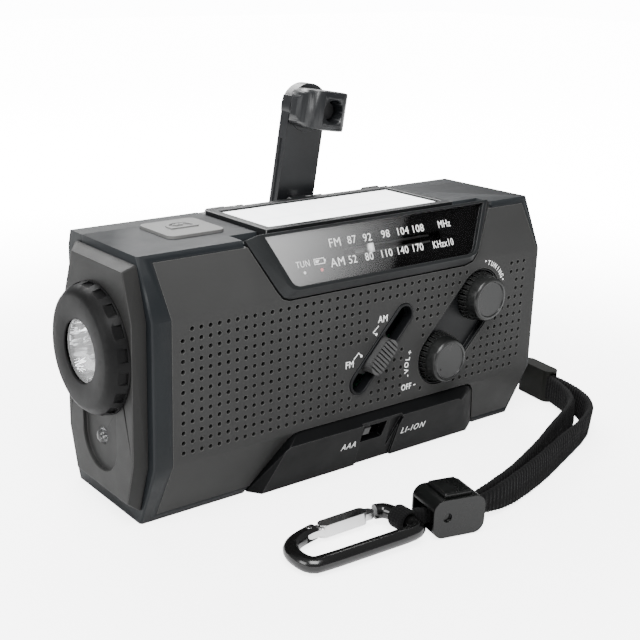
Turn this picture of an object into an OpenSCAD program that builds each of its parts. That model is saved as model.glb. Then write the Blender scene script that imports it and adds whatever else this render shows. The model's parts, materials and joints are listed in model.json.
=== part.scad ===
// Hand-crank emergency radio with torch, solar lid, folding crank and wrist strap.
// Frame: +X along the body toward the strap end, -Y is the front (dial side), +Z up.
// Origin: centre of the base, on the surface the radio stands on. Millimetres.

/* [Body] */
// Distance from the middle to the left end wall of the housing
left_end = 70.5; // [70:0.1:71]
// Distance from the middle to the right end wall of the housing
right_end = 71; // [70.6:0.1:71.4]
// Thickness of the housing walls
wall = 2; // [1.8:0.1:2.2]
// Thickness of the bent speaker panel on the front
panel_thick = 1.5; // [1.3:0.1:1.6]

/* [Controls] */
// Radius of the two front knobs at the face
knob_face_r = 5.9; // [5:0.1:6.4]
// Radius of the two front knobs at the foot
knob_foot_r = 7.7; // [7.2:0.1:7.9]
// Radius of the pill-shaped recess that joins the knobs
recess_r = 8.6; // [8.4:0.1:9]

/* [Speaker dots] */
// Distance between neighbouring speaker dots
dot_pitch = 2.8; // [2.8:0.1:3]
// Radius of one speaker dot
dot_r = 0.65; // [0.4:0.05:0.8]

/* [Crank] */
// Lean of the raised crank arm away from upright, in degrees
crank_lean = 8.4; // [7:0.2:10]
// Distance from the crank hub to the middle of the grip
crank_reach = 62.5; // [60:0.5:64]

/* [Strap] */
// Height of the webbing where it stands on its edge
web_h = 9; // [8:0.5:10]
// Thickness of the webbing
web_t = 2.4; // [1.6:0.2:2.6]

/* [Hidden] */

fit = 0.06;         // radial clearance between a pin and its bore
panel_gap = 0.12;   // clearance round the speaker panel
seam_y = 14;        // joint between the two housing halves
seam_gap = 0.05;

// Landmarks of the body's cross-section
front_y = -22.1;
rear_y = 22.1;
low_fold_z = 18.4;
high_fold_z = 58;
top_z = 73.6;
low_front_y = -14.4;
top_front_y = -15.1;
cavity_top_z = top_z - wall - 0.2;

// Axes running front to back, as [x, z]
tuning_axis = [45.3, 46.5];
volume_axis = [29.6, 29.9];
slot_low = [-2.1, 28.2];
slot_high = [14.1, 45.8];
speaker_axis = [-40, 38];
crank_axis = [3.5, 39];
idler_axis = [29.6, 39];
generator_axis = [52.8, 39];
screw_axes = [[-66, 9], [66, 9], [-66, 58.5], [56, 60]];

// Axes running along the body, as [y, z]
torch_axis = [-1.5, 47];
indicator_axis = [-1, 21.9];
door_axis = [21.2, 6.45];
lid_axis = [19.2, 73.0];
aerial_axis = [19.9, 65.6];

// Radii of the turning parts
knob_shaft_r = 2;
crank_shaft_r = 4;
hub_r = 9;
idler_spindle_r = 2;
generator_shaft_r = 1;
arm_pin_r = 1;
grip_pin_r = 2;
lid_pin_r = 0.8;
rivet_r = 0.8;

button_size = [17.7, 17.2];
lid_left = -29;
lid_length = 70;
panel_left = -64.8;
panel_right = 70.2;

// Housing cross-sections, [y, z]
housing_outline = [
  [low_front_y, 0], [front_y, low_fold_z], [front_y, high_fold_z], [top_front_y, top_z],
  [20.6, top_z], [rear_y, 69], [rear_y, 5], [20, 0]];
cavity_outline = [
  [-11.6, wall], [-18.9, 19.4], [-18.9, 56.6], [-12.6, cavity_top_z],
  [18.6, cavity_top_z], [rear_y - wall, 67.5], [rear_y - wall, 6], [18.5, wall]];

// Front view outlines, [x, z]
panel_outline = [
  [-66.1, 2.2], [panel_left, low_fold_z], [panel_left, high_fold_z], [-66.3, 71.7],
  [68.3, 71.7], [panel_right, high_fold_z], [panel_right, low_fold_z], [69.6, 2.2]];
dial_cutout = [
  [-38.4, 73.8], [-31.6, 60], [-30.2, 57.9], [-28, 57.1],
  [38, 57.1], [41.5, 57.9], [44.2, 60], [54.6, 73.8]];
lower_cutout = [
  [-37.6, -1], [-27.2, 16.2], [-25.4, 17.8], [-23, low_fold_z],
  [42.3, low_fold_z], [44.6, 17.5], [46.4, 15.6], [54.9, -1]];

/* ---------- frames and basic solids ---------- */
// Frame at [x, z] whose Z points to the front and whose Y points up
module to_front(axis, y = 0) {
  translate([axis[0], y, axis[1]]) rotate([90, 0, 0]) children();
}
// Frame whose Z points along the body and whose X points to the rear
module to_right(at) {
  translate(at) rotate([90, 0, 90]) children();
}
// Frames on the three front facets: x along the body, y up the facet, z outward
module on_upper() {
  translate([0, front_y, high_fold_z])
    rotate([atan2(top_z - high_fold_z, top_front_y - front_y), 0, 0]) children();
}
module on_middle() {
  to_front([0, 0], front_y) children();
}
module on_lower() {
  translate([0, low_front_y, 0])
    rotate([atan2(low_fold_z, front_y - low_front_y), 0, 0]) children();
}

module box(corner, size) {
  translate(corner) cube(size);
}
// Cylinders between two stations on the named axis
module cyl_x(yz, x0, x1, r, fn = 48) {
  translate([x0, yz[0], yz[1]]) rotate([0, 90, 0]) cylinder(r = r, h = x1 - x0, $fn = fn);
}
module cyl_y(xz, y0, y1, r, fn = 48) {
  to_front(xz, y1) cylinder(r = r, h = y1 - y0, $fn = fn);
}
module cyl_z(xy, z0, z1, r, fn = 48) {
  translate([xy[0], xy[1], z0]) cylinder(r = r, h = z1 - z0, $fn = fn);
}
// A [y, z] outline swept along x
module sweep_x(x0, x1, outline) {
  to_right([x0, 0, 0]) linear_extrude(x1 - x0) polygon(outline);
}
// An [x, z] shape swept along y
module sweep_y(y0, y1) {
  to_front([0, 0], y1) linear_extrude(y1 - y0) children();
}
// Long block with the housing's section, shrunk by depth
module inset_body(depth) {
  to_right([-90, 0, 0]) linear_extrude(180) offset(delta = -depth) polygon(housing_outline);
}

/* ---------- flat shapes and paths ---------- */
function unit(v) = v / norm(v);

// Round-ended bar from a to b, as a shape
module pill(a, b, r, fn = 32) {
  run = b - a;
  translate(a) circle(r, $fn = fn);
  translate(b) circle(r, $fn = fn);
  translate(a) rotate(atan2(run[1], run[0])) translate([0, -r]) square([norm(run), 2 * r]);
}
// Round-ended bar from a to b, as one list of points
function stadium(a, b, r, n = 24) =
  let (t = atan2(b[1] - a[1], b[0] - a[0]))
  concat(
    [for (i = [0:n]) b + r * [cos(t - 90 + 180 * i / n), sin(t - 90 + 180 * i / n)]],
    [for (i = [0:n]) a + r * [cos(t + 90 + 180 * i / n), sin(t + 90 + 180 * i / n)]]);

module rounded_rect(size, r, fn = 24) {
  square([size[0] - 2 * r, size[1]], center = true);
  square([size[0], size[1] - 2 * r], center = true);
  for (i = [-1, 1], j = [-1, 1])
    translate([i * (size[0] / 2 - r), j * (size[1] / 2 - r)]) circle(r, $fn = fn);
}

// Cuts the corners of an open path, the given number of times
function soften(path, times) = times == 0 ? path : soften(
  concat(
    [path[0]],
    [for (i = [1:len(path) - 2]) each [
      path[i] * 0.75 + path[i - 1] * 0.25,
      path[i] * 0.75 + path[i + 1] * 0.25]],
    [path[len(path) - 1]]),
  times - 1);
// Sideways step at point i that keeps a band's width through the corner
function mitre(path, i) =
  let (
    j = max(i, 1),
    k = min(i, len(path) - 2),
    before = unit(path[j] - path[j - 1]),
    after = unit(path[k + 1] - path[k]),
    middle = unit(before + after))
  [-middle[1], middle[0]] / (middle * before);
// Outline of a band of half width r along the path
function band(path, r) = concat(
  [for (i = [0:len(path) - 1]) path[i] + r * mitre(path, i)],
  [for (i = [len(path) - 1:-1:0]) path[i] - r * mitre(path, i)]);

// Round wire of radius r along a flat path
module wire(path, r, n = 16) {
  last = len(path) - 1;
  polyhedron(
    points = [
      for (i = [0:last], k = [0:n - 1])
        let (a = 360 * (k + 0.5) / n, side = r * cos(a) * mitre(path, i))
        [path[i][0] + side[0], path[i][1] + side[1], r * sin(a)]],
    faces = concat(
      [[for (k = [0:n - 1]) k]],
      [[for (k = [n - 1:-1:0]) last * n + k]],
      [for (i = [0:last - 1], k = [0:n - 1])
        let (a = i * n + k, b = i * n + (k + 1) % n)
        [a + n, b + n, b, a]]));
}

// Gear with one tooth per millimetre of pitch diameter;
// tooth_width is the share of the pitch that a tooth takes
module gear(teeth, bore, height, tooth_width = 0.42) {
  root_r = teeth / 2 - 1.3;
  pitch_r = teeth / 2;
  tip_r = teeth / 2 + 0.9;
  step = 360 / teeth;
  flank = [
    [tip_r, tip_r * sin(step * 0.1)],
    [pitch_r * cos(step * tooth_width / 2), pitch_r * sin(step * tooth_width / 2)],
    [root_r * cos(step * 0.3) - 0.2, root_r * sin(step * 0.3)]];
  linear_extrude(height) difference() {
    union() {
      circle(root_r + 0.02, $fn = 4 * teeth);
      for (i = [0:teeth - 1]) rotate(i * step)
        polygon(concat([for (k = [2:-1:0]) [flank[k][0], -flank[k][1]]], flank));
    }
    circle(bore, $fn = 48);
  }
}

/* ---------- housings ---------- */
module lid_pocket() {
  box([lid_left - 0.6, -13.1, 70.4], [lid_length + 1.2, 34.2, 10]);
}
module lid_pocket_floor(y0, y1) {
  box([-31.4, y0, 68.8], [74.8, y1 - y0, 3.6]);
}
// Housing walls between two stations along y
module shell(y0, y1) {
  difference() {
    intersection() {
      sweep_x(-left_end, right_end, housing_outline);
      box([-100, y0, -10], [200, y1 - y0, 100]);
    }
    sweep_x(-left_end + wall, right_end - wall, cavity_outline);
  }
}
module at_button() {
  translate([-45.1, 4.4, 0]) children();
}

module front_housing() color([0.16, 0.19, 0.21]) difference() {
  joint_y = seam_y - seam_gap;
  union() {
    shell(-60, joint_y);
    lid_pocket_floor(-14.2, joint_y);
    // rib above the upper right screw post
    box([54.8, -2, 62.2], [2.4, 2 + joint_y, 10.3]);
    for (axis = screw_axes) difference() {
      cyl_y(axis, -2, joint_y, 3.4, 32);
      cyl_y(axis, -3, seam_y + 1, 1.5, 24);
    }
  }
  lid_pocket();
  // seat of the speaker panel, dial frame and lower frame
  intersection() {
    difference() {
      box([-80, -40, -1], [160, 31, 80]);
      inset_body(panel_thick + panel_gap);
    }
    sweep_y(-40, -9) union() {
      offset(delta = panel_gap) polygon(panel_outline);
      polygon([[-38.7, 60], [-38.7, 75], [54.9, 75], [54.9, 60]]);
      offset(delta = panel_gap) polygon(lower_cutout);
    }
  }
  // speaker opening, knob recess, band slot and selector window
  cyl_y(speaker_axis, -30, -10, 17);
  sweep_y(-30, -10) polygon(stadium(volume_axis, tuning_axis, recess_r + 0.3, 40));
  sweep_y(-30, -10) pill(slot_low, slot_high, 4.4);
  on_lower() box([-4, 3, -14], [16, 15.4, 20]);
  // dial opening
  on_upper() box([-27, 2.5, -12], [66, 11.5, 20]);
  // torch opening and hole for the indicator
  cyl_x(torch_axis, -80, -60, 11.4);
  cyl_x(indicator_axis, -80, -60, 1.6, 24);
  // torch button
  at_button() translate([0, 0, 60]) linear_extrude(20)
    rounded_rect(button_size + [0.4, 0.4], 2.2);
  // sockets in the right end
  box([60, -12.5, 46], [20, 21, 18]);
}

module rear_housing() color([0.15, 0.17, 0.19]) difference() {
  union() {
    shell(seam_y, seam_y + 60);
    lid_pocket_floor(seam_y, 21.6);
    for (axis = screw_axes) cyl_y(axis, seam_y, 20.6, 3.4, 32);
    // aerial trough
    intersection() {
      sweep_x(-left_end + 0.5, right_end - 0.1, housing_outline);
      box([-68, 15.4, 61.5], [140, 8, 9]);
    }
    // spindle of the idler gear and crank bearing
    cyl_y(idler_axis, 9, 20.6, idler_spindle_r, 32);
    cyl_y(crank_axis, 19, 21, 9);
  }
  lid_pocket();
  // hollow for the aerial, open at the rear
  box([-66.6, 16.9, 62.9], [150, 8, 5.4]);
  // crank shaft bore and hub seat
  cyl_y(crank_axis, 10, 30, crank_shaft_r + fit, 64);
  cyl_y(crank_axis, 20.5, 30, hub_r + 0.2, 64);
  // battery door opening, its rebate and the sockets of its hinge
  box([-60, 15, 7], [45, 10, 27]);
  box([-62, 20.9, 5.4], [49, 10, 31.2]);
  cyl_x(door_axis, -62, -13, 1.0, 32);
  cyl_x(door_axis, -63.2, -11.8, 0.6 + fit, 24);
  // screws
  for (axis = screw_axes) {
    cyl_y(axis, 10, 30, 1.7, 24);
    cyl_y(axis, 19.4, 30, 3.0, 32);
  }
}

module battery_door() color([0.17, 0.19, 0.21]) difference() {
  union() {
    box([-61.85, 20.95, 6.45], [48.7, 1.15, 30]);
    box([-59.8, 19.6, 7.2], [44.6, 1.4, 26.6]);
    // rounded lower edge with the two hinge pegs
    cyl_x(door_axis, -61.85, -13.15, 0.85, 32);
    cyl_x(door_axis, -63.0, -12.0, 0.6, 24);
  }
  // thumb grip
  for (i = [0:3]) box([-43, 21.7, 28 + 1.8 * i], [11, 2, 0.8]);
}

module housing_screws() color([0.55, 0.55, 0.56]) for (axis = screw_axes) difference() {
  union() {
    cyl_y(axis, 2, 19.6, 1.35, 24);
    cyl_y(axis, 19.5, 21.2, 2.8, 32);
  }
  // cross recess
  translate([axis[0], 21.8, axis[1]]) for (a = [0, 90])
    rotate([0, a, 0]) cube([3.2, 2.4, 0.7], center = true);
}

/* ---------- speaker panel ---------- */
dot_columns = 46;
dot_rows = 13;
first_dot = [-61.6, 54.9];   // upper left, [x, z]

function line_distance(p, a, b) =
  let (run = b - a, t = max(0, min(1, ((p - a) * run) / (run * run))))
  norm(p - a - t * run);
function in_box(p, low, high) =
  p[0] > low[0] && p[0] < high[0] && p[1] > low[1] && p[1] < high[1];
// True where a dot is clear of the controls and their blank areas
function dot_fits(p, i, k) =
  !(i == 0 && k == 0)
  && !(i == dot_columns - 1 && k == dot_rows - 1)
  && p[0] < 67.2
  && line_distance(p, slot_low, slot_high) > 5.3
  && line_distance(p, tuning_axis, volume_axis) > recess_r + 1.3
  && !in_box(p, [-9.6, 31], [-1.5, 40])
  && !in_box(p, [2.5, 42.5], [10.5, 51])
  && !in_box(p, [14.2, 20.5], [20.4, 41])
  && !(norm(p - tuning_axis) < 14.2 && p[0] > 44 && p[1] > 46);

module grille_panel() color([0.26, 0.26, 0.26]) {
  // upper and lower facets
  intersection() {
    difference() {
      sweep_x(-80, 80, housing_outline);
      inset_body(panel_thick);
    }
    sweep_y(-40, -9) difference() {
      polygon(panel_outline);
      offset(delta = panel_gap) polygon(dial_cutout);
      offset(delta = panel_gap) polygon(lower_cutout);
      translate([-80, low_fold_z]) square([160, high_fold_z - low_fold_z]);
    }
  }
  // middle facet with its dots
  on_middle() translate([0, 0, -panel_thick]) linear_extrude(panel_thick) difference() {
    polygon([
      [panel_left, low_fold_z], [panel_right, low_fold_z],
      [panel_right, high_fold_z], [panel_left, high_fold_z]]);
    offset(delta = panel_gap) polygon(dial_cutout);
    polygon(stadium(slot_low, slot_high, 3.72));
    polygon(stadium(volume_axis, tuning_axis, recess_r + panel_gap, 40));
    for (i = [0:dot_columns - 1], k = [0:dot_rows - 1])
      let (p = first_dot + dot_pitch * [i, -k])
        if (dot_fits(p, i, k)) translate(p) circle(dot_r, $fn = 14);
  }
}

/* ---------- dial, in the frame of the upper facet ---------- */
dial_slot_y = 9.4;

module window_shape(gap = 0) {
  polygon([
    [-32.6 - gap, 16.7 + gap], [-27.2 - gap, 3.6], [-26.4 - gap, 2.8], [-25.2, 2.3 - gap],
    [39.2, 2.3 - gap], [40.6 + gap, 2.7], [41.6 + gap, 3.6], [49.4 + gap, 16.7 + gap]]);
}
module dial_bezel() color([0.12, 0.13, 0.14]) on_upper() difference() {
  hull() {
    translate([0, 0, -0.9]) linear_extrude(1.1) polygon([
      [-37.9, 16.9], [-31.2, 2.4], [-29.9, 0.3], [-27.9, -0.5],
      [37.9, -0.5], [41.1, 0.3], [43.8, 2.4], [53.9, 16.9]]);
    translate([0, 0, 1.8]) linear_extrude(0.2) polygon([
      [-34.6, 17.6], [-29.2, 3.6], [-27.6, 1.9], [-25.4, 1.2],
      [38.6, 1.2], [41.6, 2], [43.4, 3.6], [51.4, 17.6]]);
  }
  // window seat and the opening behind it
  translate([0, 0, 0.7]) linear_extrude(4) window_shape(0.12);
  translate([0, 0, -3]) linear_extrude(6)
    polygon([[-28.4, 14.6], [-24.2, 4.4], [39.4, 4.4], [45.2, 14.6]]);
}
module dial_window() color([0.05, 0.05, 0.06, 0.5])
  on_upper() translate([0, 0, 0.85]) linear_extrude(1.1) window_shape();

module dial_plate() color([0.03, 0.03, 0.03])
  on_upper() translate([0, 0, -2.9]) linear_extrude(0.8) difference() {
    polygon([[-26.6, 13.6], [-26.6, 2.9], [38.6, 2.9], [38.6, 13.6]]);
    translate([8.3, dial_slot_y]) square([33.4, 1.2], center = true);
  }
// Marker, stem through the plate and foot behind it
module dial_pointer() color([0.95, 0.95, 0.95]) on_upper() translate([3.8, dial_slot_y, 0]) {
  box([-0.8, -1.3, -1.4], [1.6, 2.6, 1.7]);
  box([-0.5, -0.4, -4.4], [1, 0.8, 3.2]);
  box([-2.2, -1.2, -5.6], [4.4, 2.4, 1.3]);
}

/* ---------- battery selector, in the frame of the lower facet ---------- */
module switch_bezel() color([0.07, 0.075, 0.08]) on_lower() difference() {
  hull() {
    translate([0, 0, -0.9]) linear_extrude(1.1) polygon([
      [-36.3, 0.4], [-26.8, 17.0], [-25.2, 18.6], [-23, 19.3],
      [42.2, 19.3], [44.4, 18.4], [46, 16.4], [53.5, 0.4]]);
    translate([0, 0, 3.3]) linear_extrude(0.2) polygon([
      [-33.4, 1.6], [-29.6, 17.2], [-28.4, 18.3],
      [36.8, 18.3], [38.4, 17.3], [47.8, 1.6]]);
  }
  // tapering facet round the selector, a wedge beside it, its window and the well behind
  translate([0, 0, 2.8]) linear_extrude(4)
    polygon([[13.4, 19.8], [-2.0, 19.8], [0.8, 0.6], [14.9, 0.6]]);
  translate([0, 0, 2.2]) linear_extrude(4) polygon([[9.4, 17.6], [14.4, 17.6], [12.2, 5.2]]);
  box([-0.8, 10.6, -3], [9.2, 6.4, 10]);
  translate([3.8, 13.4, -4]) linear_extrude(4.4) square([12.4, 8.4], center = true);
}
module battery_selector() color([0.3, 0.3, 0.3]) on_lower() translate([2.2, 13.8, 0]) {
  box([-1.3, -1.5, -1.2], [2.6, 3.0, 3.2]);
  box([-3.4, -3.2, -2.6], [6.8, 6.4, 1.5]);
}

/* ---------- knobs and band slot ---------- */
module knob_plate() color([0.09, 0.1, 0.1]) difference() {
  sweep_y(-21.9, -18.95) pill(tuning_axis, volume_axis, recess_r, 64);
  sweep_y(-30, -20.4) pill(tuning_axis, volume_axis, recess_r - 0.55, 64);
  for (axis = [tuning_axis, volume_axis]) cyl_y(axis, -30, -10, 3.3);
}
module knob(axis, dot) {
  flutes = 28;
  // [radius, distance in front of y = 0]
  profile = [
    [0, 20.75], [knob_foot_r, 20.75], [knob_foot_r - 0.1, 22.3],
    [knob_face_r + 0.75, 26.3], [knob_face_r + 0.25, 26.85],
    [knob_face_r - 0.35, 26.95], [knob_face_r - 0.65, 26.6], [0, 26.5]];
  difference() {
    to_front(axis) rotate_extrude($fn = 64) polygon(profile);
    // shaft socket
    cyl_y(axis, -24.8, -20, knob_shaft_r + fit, 32);
    translate([axis[0], 0, axis[1]]) {
      // grip flutes
      for (i = [0:flutes - 1]) rotate([0, i * 360 / flutes, 0]) translate([0, -24.1, 0])
        rotate([-17, 0, 0]) box([-0.3, -2.6, 7.05], [0.6, 4.4, 2]);
      if (dot) rotate([0, -120, 0]) cyl_y([0, 4.2], -28, -26.3, 0.45, 24);
    }
  }
}
module tuning_knob() color([0.1, 0.11, 0.11]) knob(tuning_axis, false);
module volume_knob() color([0.1, 0.11, 0.11]) knob(volume_axis, true);

// Round shaft with a flat on top of its front end
module knob_shaft(axis) {
  difference() {
    cyl_y(axis, -24.7, -12.2, knob_shaft_r, 32);
    box([axis[0] - 3, -24.8, axis[1] + 1.4], [6, 5, 3]);
  }
}
module tuning_shaft() color([0.75, 0.75, 0.75]) knob_shaft(tuning_axis);
module volume_shaft() color([0.75, 0.75, 0.75]) knob_shaft(volume_axis);

// Body of a control behind a knob, with its collar and shaft bore
module control(axis) {
  difference() {
    union() {
      children();
      cyl_y(axis, -18.6, -16.8, 3.2, 32);
    }
    cyl_y(axis, -20, -12.1, knob_shaft_r + fit, 32);
  }
}
module tuning_capacitor() color([0.82, 0.83, 0.78]) control(tuning_axis)
  box([tuning_axis[0] - 8, -16.9, tuning_axis[1] - 8], [16, 6.6, 16]);
module volume_control() color([0.35, 0.28, 0.2]) control(volume_axis) {
  cyl_y(volume_axis, -16.9, -10.3, 6.4);
  box([volume_axis[0] - 5, -14, volume_axis[1] - 9.6], [10, 3.6, 4.2]);
}

slot_dir = unit(slot_high - slot_low);
slider_mid = slot_low + slot_dir * 9.9;

module slot_plate() color([0.1, 0.1, 0.11]) difference() {
  union() {
    sweep_y(-22.6, -20.2) pill(slot_low, slot_high, 3.6);
    sweep_y(-20.4, -19.2) pill(slot_low, slot_high, 4.25);
  }
  sweep_y(-30, -10) pill(slot_low, slot_high, 2.75);
}
// One layer of the slider, half_length from its middle to each end centre
module slider_layer(y0, y1, half_length, r) {
  reach = slot_dir * half_length;
  sweep_y(y0, y1) pill(slider_mid - reach, slider_mid + reach, r);
}
module band_slider() color([0.33, 0.33, 0.33]) {
  difference() {
    slider_layer(-25.2, -19.0, 3.2, 2.6);
    // thumb grooves
    for (i = [-4:4]) let (p = slider_mid + slot_dir * i * 1.15)
      translate([p[0], -24.9, p[1]]) rotate([0, -atan2(slot_dir[1], slot_dir[0]), 0])
        cube([0.45, 1.2, 7], center = true);
  }
  slider_layer(-19.0, -17.6, 3.2, 4.0);
  slider_layer(-17.6, -15.6, 0.6, 1.0);
}
module band_switch() color([0.2, 0.2, 0.22]) difference() {
  sweep_y(-16.6, -10.3) pill(slot_low + slot_dir * 3, slot_high - slot_dir * 3, 4.6);
  sweep_y(-18, -15.2) pill(slot_low + slot_dir * 4, slot_high - slot_dir * 4, 1.4);
}

/* ---------- torch end ---------- */
// Cap tapering from its foot outline, x0 to x1, to its face outline at face_x
module end_cap(x0, x1, face_x, foot, face) {
  hull() {
    sweep_x(x0, x1, foot);
    sweep_x(face_x - 0.1, face_x + 0.1, face);
  }
}
// Left cap outlines, [y, z]
left_foot = [
  [-15.3, 71.6], [-19.5, 57.9], [-19.3, 18.7], [-14.9, 4.4],
  [15, 4.4], [18.6, 18.7], [18.6, 57.9], [16.4, 71.6]];
left_face = [
  [-15.5, 70.4], [-19.6, 58], [-19.2, 20.1], [-15.6, 7.6],
  [12.7, 7.6], [16.3, 19.5], [16.3, 58.3], [11.5, 70.4]];

module left_end_cap() color([0.3, 0.3, 0.29]) difference() {
  end_cap(-left_end - 0.6, -left_end - 0.05, -left_end - 4.4, left_foot, left_face);
  cyl_x(torch_axis, -80, -60, 11.2);
  // shallow tongue-shaped recess below the torch, round the indicator
  translate([-left_end - 3.2, 0, 0]) rotate([90, 0, -90]) linear_extrude(4) {
    translate([1.3, 21.8]) circle(9.3, $fn = 64);
    translate([-8, 21.8]) square([18.6, 12]);
  }
  cyl_x(indicator_axis, -80, -60, 1.5, 24);
  cyl_x(indicator_axis, -80, -left_end - 2.7, 2.3, 32);
}
module torch_ring() color([0.08, 0.08, 0.08]) difference() {
  // [radius, distance outward]
  profile = [
    [11.1, 0], [17.9, 0], [17.8, 1.2], [17.1, 3.4], [15.9, 4.9], [14.5, 5.6],
    [12.4, 5.7], [10.2, 5.5], [8.7, 5.2], [8.5, 5.0], [8.5, 4.75], [11.1, 4.75]];
  translate([-left_end - 4.55, torch_axis[0], torch_axis[1]]) rotate([0, -90, 0])
    rotate_extrude($fn = 96) polygon(profile);
  // grip notches
  for (i = [0:17]) translate([0, torch_axis[0], torch_axis[1]]) rotate([i * 20, 0, 0])
    box([-left_end - 9.3, -1.75, 17.15], [4.1, 3.5, 3]);
}
module torch_lens() color([0.8, 0.85, 0.9, 0.4])
  cyl_x(torch_axis, -left_end - 9.2, -left_end - 8.2, 10.9, 64);
module torch_reflector() color([0.85, 0.85, 0.85]) {
  // [radius, depth behind the lens]
  profile = [
    [9.6, 0], [10.9, 0], [10.9, 1.2], [10.4, 1.2], [9.6, 5], [7.6, 9.6], [4.2, 13.4],
    [3.2, 14.6], [2.6, 14.6], [2.6, 13.2], [4, 12], [6.9, 8.9], [8.8, 4.6]];
  translate([-left_end - 8.15, torch_axis[0], torch_axis[1]]) rotate([0, 90, 0])
    rotate_extrude($fn = 64) polygon(profile);
}
module torch_led() color([0.95, 0.9, 0.6]) {
  cyl_x(torch_axis, -64.05, -62.6, 7, 32);
  cyl_x(torch_axis, -66, -64.0, 2.3, 24);
  translate([-66, torch_axis[0], torch_axis[1]]) sphere(r = 1.6, $fn = 24);
}
module indicator_lens() color([0.7, 0.72, 0.75, 0.7]) {
  cyl_x(indicator_axis, -left_end - 3.4, -left_end - 2.75, 2.2, 32);
  cyl_x(indicator_axis, -left_end - 2.8, -left_end + 1.2, 1.4, 24);
  intersection() {
    translate([-left_end - 2.6, indicator_axis[0], indicator_axis[1]])
      sphere(r = 2.35, $fn = 32);
    box([-left_end - 6, -4, 18], [2.8, 6, 8]);
  }
}

/* ---------- right end ---------- */
strap_bar = [right_end + 6.4, 5.4];   // [x, y]
// Right cap outlines, [y, z]
right_foot = [
  [-14.2, 70.6], [-18.6, 57.6], [-18.4, 19.2], [-13.6, 5],
  [14.6, 5], [18.4, 19.2], [18.4, 57.6], [15.6, 70.6]];
right_face = [
  [-13.4, 69], [-17.6, 57.4], [-17.4, 20.6], [-13.4, 7.8],
  [13, 7.8], [16.8, 20.2], [16.8, 57.6], [12.6, 69]];

module right_end_cap() color([0.28, 0.28, 0.28]) difference() {
  union() {
    end_cap(right_end + 0.05, right_end + 0.6, right_end + 3, right_foot, right_face);
    // ears and the strap bar between them
    for (z = [8.6, 20.4]) box([right_end + 2, 1.8, z], [7.4, 7.2, 2]);
    cyl_z(strap_bar, 9, 22, 1.0, 32);
  }
  // seat of the socket cover and opening for the socket block
  box([right_end + 1.5, -13.2, 45.2], [4, 22.4, 19.6]);
  box([right_end - 1, -11.8, 46.8], [4, 19.4, 16.4]);
}
module usb_ports() color([0.6, 0.6, 0.62]) difference() {
  box([right_end - 9.8, -11.4, 47], [11, 18.6, 16]);
  box([right_end - 8, -9, 49], [12, 5.6, 12.4]);
  box([right_end - 8, -7.2, 50.2], [4, 2, 10]);
  box([right_end - 6, 0.4, 55.4], [12, 2.8, 6]);
  cyl_x([1.8, 50.6], right_end - 8, right_end + 3, 1.8, 32);
}
module port_cover() color([0.1, 0.1, 0.1]) difference() {
  union() {
    box([right_end + 1.6, -13, 45.4], [1.3, 20.4, 19.2]);
    // rounded rear edge, the strip joining it and a front tab
    cyl_z([right_end + 2.25, 7.9], 45.4, 64.6, 0.65, 24);
    box([right_end + 1.6, 6.4, 45.4], [1.2, 1.5, 19.2]);
    box([right_end + 2.4, -13, 52], [0.9, 2, 6]);
  }
  box([right_end + 2.6, -9.6, 53], [2, 13, 4]);
}

/* ---------- insides ---------- */
cell_heights = [12.4, 23.2];   // z of the two AAA cells
ferrite_axis = [-3, 62.4];     // [y, z]
lithium_axis = [1, 12.2];      // [y, z]

module circuit_board() color([0.08, 0.32, 0.18]) {
  box([-14, -10.2, 6], [74.6, 1.6, 52]);
  // parts on the board
  box([50, -12.4, 12], [9, 2.2, 9]);
  box([10, -11.6, 9], [7, 1.4, 5]);
  for (i = [0:4]) cyl_y([22 + 6 * i, 14], -14.4, -10.1, 2.1, 24);
  box([30, -8.7, 50], [9, 4, 7]);
}
module speaker_basket() color([0.5, 0.5, 0.52]) difference() {
  union() {
    cyl_y(speaker_axis, -18.7, -17.2, 18.4, 64);
    cyl_y(speaker_axis, -17.3, -8.6, 17.2, 64);
    cyl_y(speaker_axis, -8.7, -2.6, 10);
  }
  cyl_y(speaker_axis, -19, -9.8, 16, 64);
}
module speaker_cone() color([0.08, 0.08, 0.08]) {
  // [radius, distance in front of y = 0]
  profile = [
    [0, 12.6], [4, 12.2], [5, 10.6], [14.6, 16.2], [15.3, 16.9], [15.8, 16.2],
    [15.8, 15.6], [15.2, 15.6], [14.8, 15.2], [5.2, 9.9], [0, 9.9]];
  to_front(speaker_axis) rotate_extrude($fn = 64) polygon(profile);
}
module ferrite_rod() color([0.2, 0.2, 0.2]) {
  cyl_x(ferrite_axis, -10, 50, 3.4, 32);
  cyl_x(ferrite_axis, 16, 34, 4.2, 32);
}
module lithium_cell() color([0.2, 0.35, 0.6]) {
  cyl_x(lithium_axis, -6, 58.6, 9.1);
  cyl_x(lithium_axis, 58.5, 60, 3, 24);
}
module aaa_cells() color([0.75, 0.6, 0.25]) for (z = cell_heights) {
  cyl_x([12.6, z], -59.6, -16.4, 5.2, 32);
  cyl_x([12.6, z], -16.5, -15.5, 1.9, 24);
}
module battery_contacts() color([0.8, 0.78, 0.6]) {
  for (z = cell_heights) box([-15.4, 9.4, z - 3], [0.5, 6.4, 6]);
  box([-60.2, 9.4, 9.4], [0.5, 6.4, 16.8]);
}
module generator() color([0.62, 0.62, 0.6]) difference() {
  union() {
    cyl_y(generator_axis, -7.6, 9.2, 9.6);
    cyl_y(generator_axis, 9.1, 10.8, 3, 32);
  }
  cyl_y(generator_axis, 2, 12, generator_shaft_r + fit, 24);
}

/* ---------- crank and gears ---------- */
arm_pin_y = 25.2;
grip = [0, crank_reach];   // grip axis in the arm frame, [x, z]

// Arm frame: x across the arm, y rearward, z along the arm from the hinge pin
module on_arm() {
  translate([crank_axis[0], 0, crank_axis[1]]) rotate([0, crank_lean, 0]) children();
}
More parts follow.
